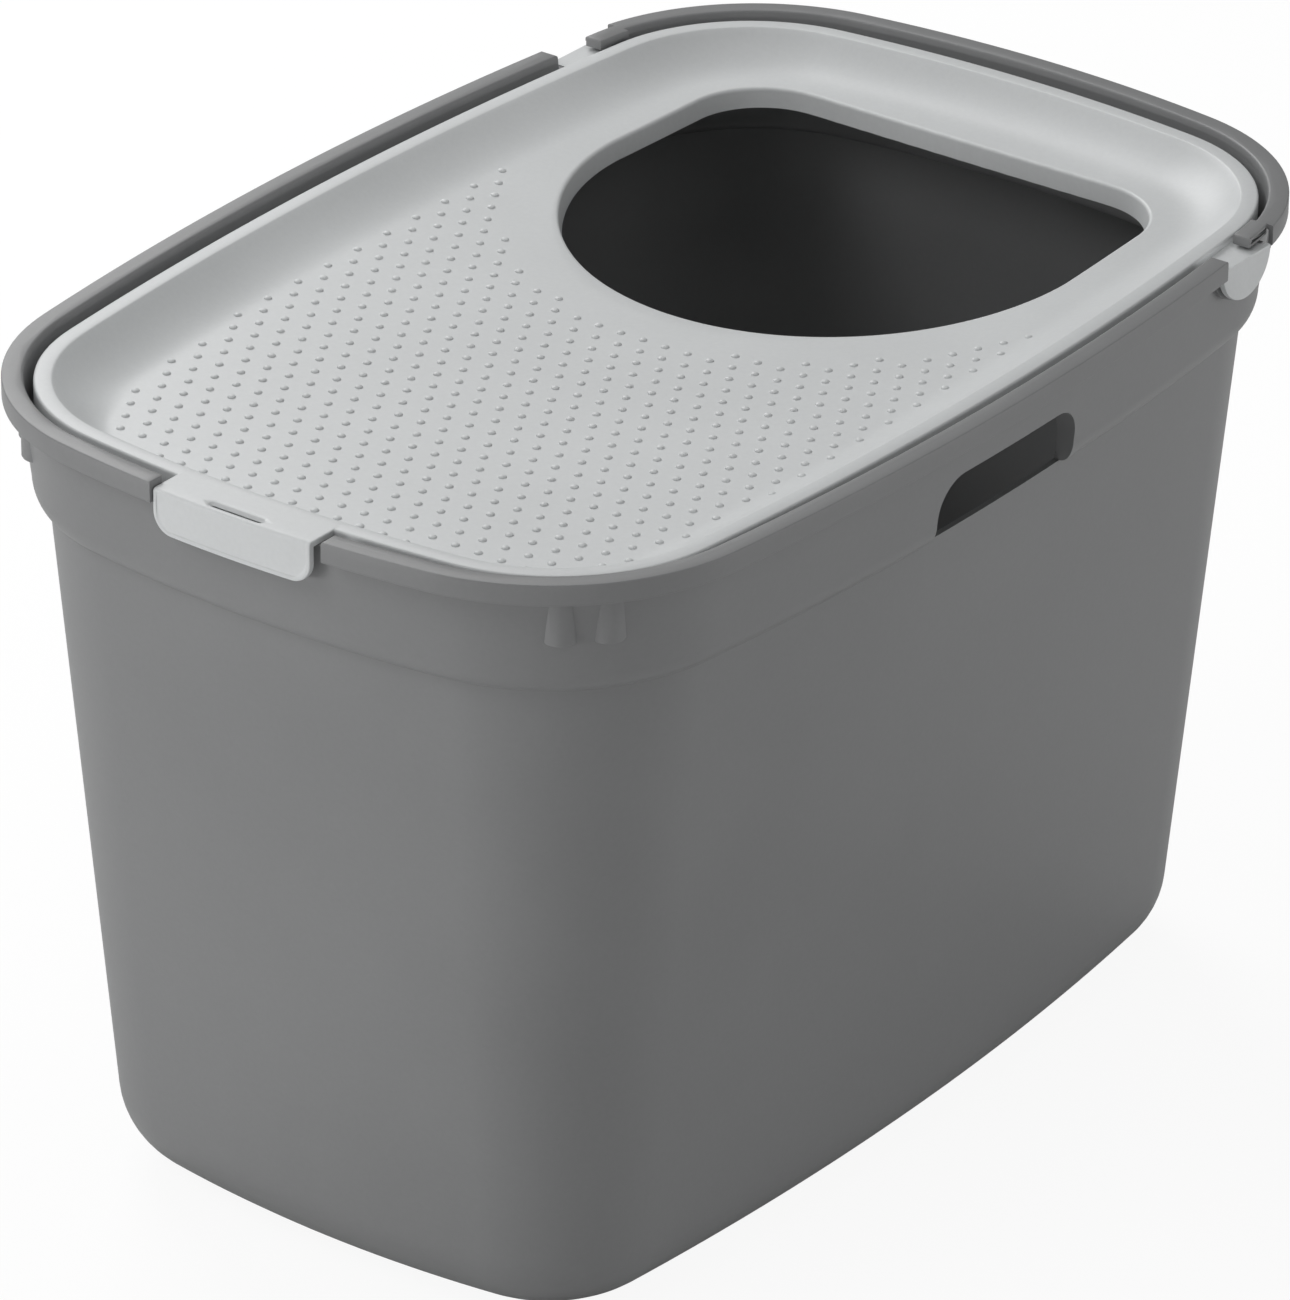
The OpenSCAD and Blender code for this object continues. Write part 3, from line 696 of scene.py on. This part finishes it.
# %% [markdown]
# ## The nubs
# Small domes on the panel give paws a grip. They stand on a triangular grid, kept clear of the lip
# and the hole. One dome mesh copied to each place on the bowl is quick and stays exact, and a
# collection of loose copies would be far heavier for Blender than one joined mesh.

# %% Nubs
NUB_X, NUB_HALF_PITCH = -4.38, 5.884
NUB_Y, NUB_ROW = -114.4, 10.258
NUB_RADIUS, NUB_HEIGHT = 1.9, 0.95
NUB_HOLE_CLEARANCE = 25.5
NUB_SIDES = 14
NUB_RINGS = [(1.0, -0.5), (1.0, 0.0), (0.93, 0.35), (0.72, 0.7), (0.4, 0.93)]
NUB_POINTS = NUB_SIDES * len(NUB_RINGS) + 1
FIELD_Y = [-237.5, -227, -217, -207, -186, -176, -120, -114]
FIELD_HALF = [82, 112, 118, 132, 133, 138, 138.5, 144]


def nub_allowed(x, y):
    """True where the real lid has a nub: inside the field, and clear of the hole."""
    clear = np.hypot(x, y - HOLE_CENTRE[1]) > HOLE_RADIUS + NUB_HOLE_CLEARANCE
    return clear and abs(x) < np.interp(y, FIELD_Y, FIELD_HALF)


def make_nubs():
    """All domes in one mesh, on the rows of the triangular grid."""
    rows, sides = NUB_RINGS, NUB_SIDES
    t = 2 * math.pi * np.arange(sides) / sides
    points, faces = [], []
    for row in range(-12, 19):
        y = NUB_Y + NUB_ROW * row
        for k in range(-26, 27):
            x = NUB_X + NUB_HALF_PITCH * k
            if (k + row) % 2 == 0 or not nub_allowed(x, y):
                continue
            base = len(points)
            ground = bowl(x, y)
            for spread, lift in rows:
                points += [(x + NUB_RADIUS * spread * math.cos(a), y + NUB_RADIUS * spread * math.sin(a),
                            ground + NUB_HEIGHT * lift) for a in t]
            points.append((x, y, ground + NUB_HEIGHT))
            for i in range(len(rows) - 1):
                low, high = base + i * sides, base + (i + 1) * sides
                for j in range(sides):
                    after = (j + 1) % sides
                    faces.append((low + j, low + after, high + after, high + j))
            last, tip = base + (len(rows) - 1) * sides, base + len(rows) * sides
            faces += [(last + j, last + (j + 1) % sides, tip) for j in range(sides)]
            faces.append(tuple(range(base, base + sides))[::-1])
    return solid("lid_nubs", points, faces)


nubs = make_nubs()
print("nubs", len(nubs.data.vertices) // NUB_POINTS)

# %% [markdown]
# ## Shader maths
# A wrapped socket lets a finish be written as ordinary sums. Each operator adds one Math node, and
# every other node comes from one method, so a material reads like a recipe.

# %% Shader helper
class Wire:
    """A socket with arithmetic."""

    def __init__(self, finish, socket):
        self.finish, self.socket = finish, socket

    def _math(self, operation, a, b):
        return self.finish.node("Math", {"operation": operation}, {0: a, 1: b})

    def __add__(self, other):
        return self._math("ADD", self, other)

    __radd__ = __add__

    def __mul__(self, other):
        return self._math("MULTIPLY", self, other)

    __rmul__ = __mul__

    def __sub__(self, other):
        return self._math("SUBTRACT", self, other)

    def __rsub__(self, other):
        return self._math("SUBTRACT", other, self)


class Finish:
    """A material under construction."""

    def __init__(self, name):
        self.material = bpy.data.materials.new(name)
        self.material.use_nodes = True
        self.tree = self.material.node_tree
        self.tree.nodes.clear()

    def node(self, kind, settings=None, inputs=None, output=0):
        """One shader node with its settings and inputs, which may be values or other outputs."""
        n = self.tree.nodes.new("ShaderNode" + kind)
        for key, value in (settings or {}).items():
            if key == "stops":
                ramp = n.color_ramp
                while len(ramp.elements) < len(value):
                    ramp.elements.new(0.5)
                for stop, (place, colour) in zip(ramp.elements, value):
                    stop.position, stop.color = place, (*colour, 1)
            else:
                setattr(n, key, value)
        for key, value in (inputs or {}).items():
            if isinstance(value, Wire):
                self.tree.links.new(value.socket, n.inputs[key])
            else:
                n.inputs[key].default_value = value
        return Wire(self, n.outputs[output])

    def output(self, shader):
        end = self.tree.nodes.new("ShaderNodeOutputMaterial")
        self.tree.links.new(shader.socket, end.inputs["Surface"])
        return self.material


# %% [markdown]
# ## Moulded polypropylene
# Both mouldings are a satin plastic: a broad soft highlight, a very fine spark-eroded grain, and a
# faint cloudiness in colour and gloss from the melt's flow. The two finishes differ only in
# colour and in how much grain they have.

# %% Plastic
def plastic(name, colour, roughness, grain):
    """A satin plastic with a cloudy tone, fine specks and a grain bump."""
    f = Finish(name)
    place = f.node("TexCoord", output="Object")
    cloud = f.node("TexNoise", {}, {"Vector": place, "Scale": 9.0, "Detail": 3.0, "Roughness": 0.5})
    specks = f.node("TexNoise", {}, {"Vector": place, "Scale": 420.0, "Detail": 2.0})
    fine = f.node("TexNoise", {}, {"Vector": place, "Scale": 1900.0, "Detail": 2.0})
    dark = tuple(c * 0.955 for c in colour)
    light = tuple(min(1.0, c * 1.045) for c in colour)
    paint = f.node("ValToRGB", {"stops": [(0.3, dark), (0.7, light)]}, {"Fac": 0.7 * cloud + 0.3 * specks})
    bump = f.node("Bump", {}, {"Height": fine, "Strength": grain, "Distance": 0.0002})
    shader = f.node("BsdfPrincipled", {}, {"Base Color": paint, "Roughness": roughness - 0.06 + 0.12 * cloud,
                                           "Normal": bump, "IOR": 1.49, "Specular IOR Level": 0.4})
    return f.output(shader)


tub_plastic = plastic("tub_plastic", (0.239, 0.2415, 0.244), 0.42, 0.2)
lid_plastic = plastic("lid_plastic", (0.668, 0.684, 0.688), 0.42, 0.15)


def dress(obj, material, body, smooth_angle=32):
    """Smooth shading except at real edges, one finish, and a body to ride on."""
    obj.data.materials.clear()
    obj.data.materials.append(material)
    for p in obj.data.polygons:
        p.use_smooth = True
    obj.data.set_sharp_from_angle(angle=math.radians(smooth_angle))
    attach(obj, body)


dress(tub, tub_plastic, "tub")
dress(lid, lid_plastic, "lid")
dress(nubs, lid_plastic, "lid", 60)
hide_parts("tub")
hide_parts("lid")
tub.name, lid.name = "tub_moulding", "lid_moulding"
for name, material in (("tub", tub_plastic), ("lid", lid_plastic)):
    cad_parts[name].data.materials.clear()
    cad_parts[name].data.materials.append(material)

# %% [markdown]
# ## Floor, light and background
# A catalogue picture has a white floor that fades into a white background. The floor is a real
# white surface, so the box keeps its soft contact shadow, and camera rays see it mostly as plain
# white. The world gives only a low even light. Five soft lamps above light the lid, the strongest
# from the left, and four low ones light the walls. The low one at the front left is the strongest,
# so the front wall is lighter than the side, and the one at the right rear lifts the far end.

# %% Studio
def make_floor():
    """A wide white floor that camera rays see mostly as plain white."""
    size = 8.0
    corners = [(-size, -size, 0), (size, -size, 0), (size, size, 0), (-size, size, 0)]
    mesh = bpy.data.meshes.new("floor")
    mesh.from_pydata(corners, [], [(0, 1, 2, 3)])
    floor = bpy.data.objects.new("floor", mesh)
    bpy.context.collection.objects.link(floor)
    f = Finish("floor_white")
    seen = f.node("LightPath", output="Is Camera Ray")
    matt = f.node("BsdfDiffuse", {}, {"Color": (0.82, 0.82, 0.82, 1)})
    glow = f.node("Emission", {}, {"Color": (1, 1, 1, 1), "Strength": 1.04})
    shader = f.node("MixShader", {}, {"Fac": seen * 0.88, 1: matt, 2: glow})
    floor.data.materials.append(f.output(shader))


def lamp(name, place, target, width, height, power):
    """A rectangular soft lamp aimed at a point."""
    data = bpy.data.lights.new(name, "AREA")
    data.shape, data.size, data.size_y, data.energy = "RECTANGLE", width, height, power
    obj = bpy.data.objects.new(name, data)
    obj.location = place
    obj.rotation_euler = (Vector(target) - Vector(place)).to_track_quat("-Z", "Y").to_euler()
    bpy.context.collection.objects.link(obj)
    obj.visible_camera = False


def make_world(level):
    """A low even light that camera rays see as white."""
    world = bpy.data.worlds.new("studio")
    bpy.context.scene.world = world
    world.use_nodes = True
    tree = world.node_tree
    tree.nodes.clear()
    path = tree.nodes.new("ShaderNodeLightPath")
    soft, white = tree.nodes.new("ShaderNodeBackground"), tree.nodes.new("ShaderNodeBackground")
    soft.inputs["Strength"].default_value = level
    white.inputs["Color"].default_value = soft.inputs["Color"].default_value = (1, 1, 1, 1)
    mix, out = tree.nodes.new("ShaderNodeMixShader"), tree.nodes.new("ShaderNodeOutputWorld")
    tree.links.new(path.outputs["Is Camera Ray"], mix.inputs[0])
    tree.links.new(soft.outputs[0], mix.inputs[1])
    tree.links.new(white.outputs[0], mix.inputs[2])
    tree.links.new(mix.outputs[0], out.inputs[0])


make_floor()
make_world(0.15)
ABOVE, LOW = (0, 0, 0.37), (0, 0, 0.2)
lamp("top", (0.1, 0.1, 2.4), ABOVE, 1.4, 1.4, 8)
lamp("top_left", (-1.6, 0.9, 1.7), ABOVE, 1.2, 1.2, 26)
lamp("top_front_left", (-1.0, -1.5, 2.0), ABOVE, 1.0, 1.0, 9.7)
lamp("top_front", (-0.2, -1.8, 2.2), ABOVE, 1.0, 1.0, 3)
lamp("top_right", (1.8, 0.4, 1.8), ABOVE, 1.2, 1.2, 2.6)
lamp("front_left", (-1.5, -2.6, 0.35), LOW, 1.5, 0.6, 26.6)
lamp("corner", (2.0, -2.2, 0.35), LOW, 1.2, 0.6, 7)
lamp("right", (3.0, 0.3, 0.35), LOW, 1.5, 0.6, 4)
lamp("right_rear", (2.3, 2.0, 0.35), LOW, 1.5, 0.6, 15)
bpy.context.scene.view_settings.view_transform = "Standard"
